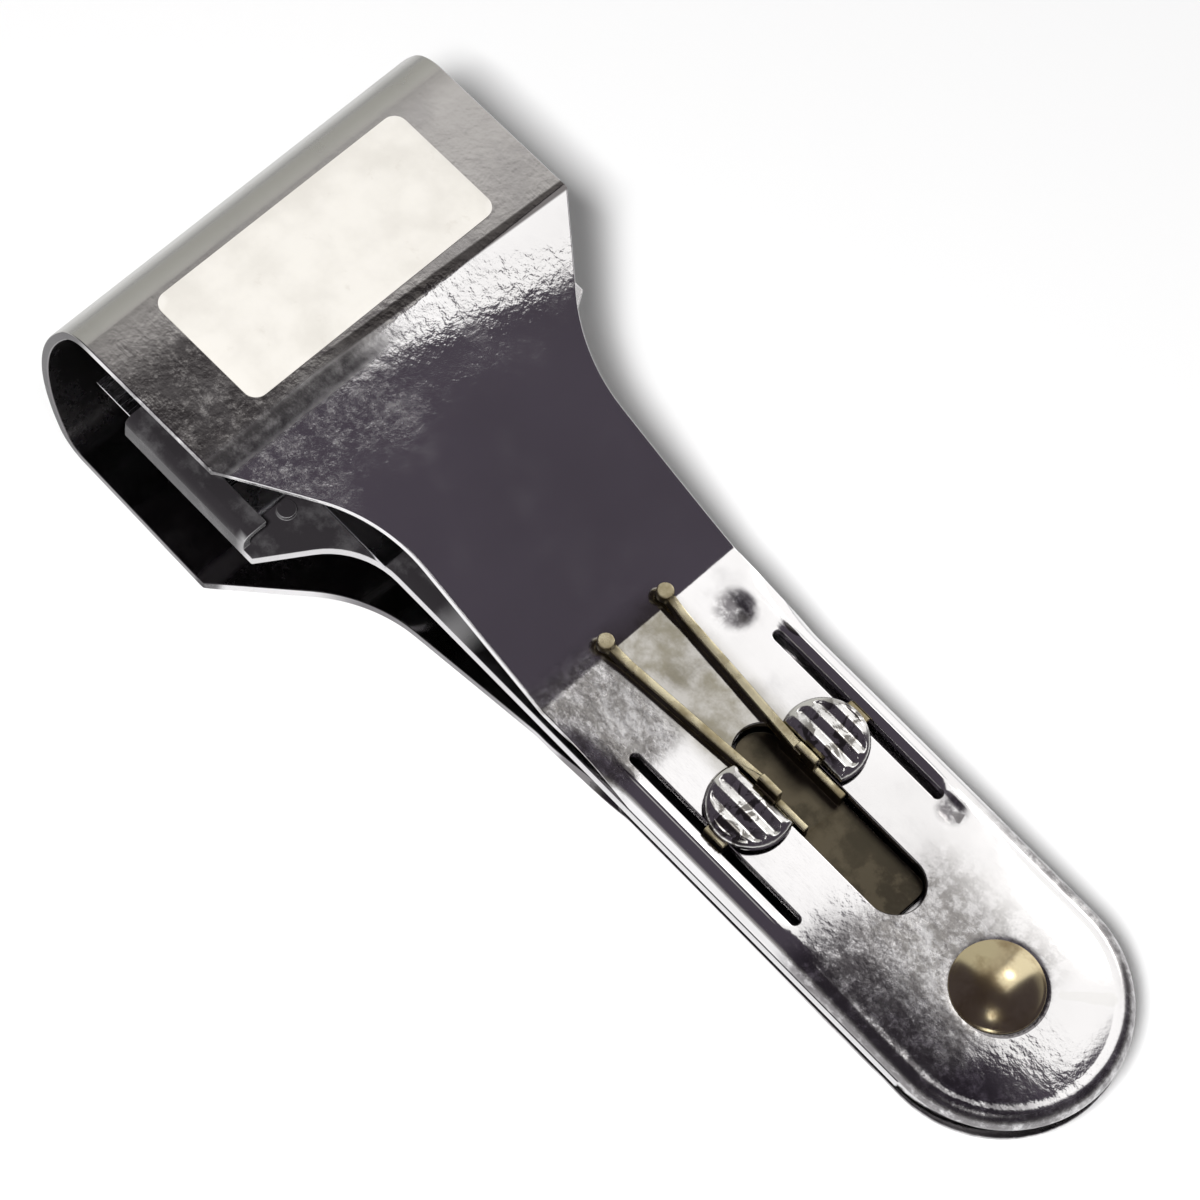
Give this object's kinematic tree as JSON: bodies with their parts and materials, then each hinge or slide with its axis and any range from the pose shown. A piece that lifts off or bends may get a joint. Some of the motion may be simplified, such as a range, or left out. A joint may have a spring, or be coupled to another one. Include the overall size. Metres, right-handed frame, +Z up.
{
  "type": "folding razor blade scraper",
  "caption": "Folding sheet-steel scraper: a blade carrier turns on the tail rivet and stows its razor blade inside the handle's wide folded head, with a sliding brass lock.",
  "frame": {"origin": "middle of the base of the stowed scraper's box, under the lowest line of the folded head", "axes": "+X along the handle from the rivet's tail to the wide head, +Y to the side that the carrier swings out to, +Z up along the pivot rivet, through the leaf that carries the lock"},
  "size_m": [0.1108, 0.042, 0.025],
  "materials": {
    "plated_sheet": "bright nickel plate on folded sheet steel",
    "label": "matte off-white paper label, bare",
    "rivet_brass": "polished domed brass rivet",
    "plain_steel": "plain steel, dull",
    "carrier_steel": "plated sheet steel, satin",
    "spring_steel": "spring steel, satin",
    "blade_steel": "ground blade steel with a bright bevel",
    "spine_steel": "folded metal spine on the blade's back",
    "slide_brass": "worn brass",
    "pad_chrome": "bright plated, grooved for the thumb"
  },
  "bodies": {
    "handle": {"handle_shell": "plated_sheet", "label": "label", "pivot_rivet": "rivet_brass", "pivot_washer": "plain_steel"},
    "carrier": {"blade_carrier": "carrier_steel", "index_plate": "plain_steel", "blade_keeper": "spring_steel", "keeper_rivets": "plain_steel", "razor_blade": "blade_steel", "blade_spine": "spine_steel"},
    "lock": {"lock_slide": "slide_brass", "thumb_pad_left": "pad_chrome", "thumb_pad_right": "pad_chrome"}
  },
  "joints": [
    {"name": "carrier_pivot", "type": "hinge", "parent": "handle", "child": "carrier", "pos_m": [-0.043, 0, 0.01248], "axis": [0, 0, 1], "range_deg": [0, 180]},
    {"name": "lock_travel", "type": "slide", "parent": "handle", "child": "lock", "axis": [-1, 0, 0], "range_m": [0, 0.004]}
  ]
}
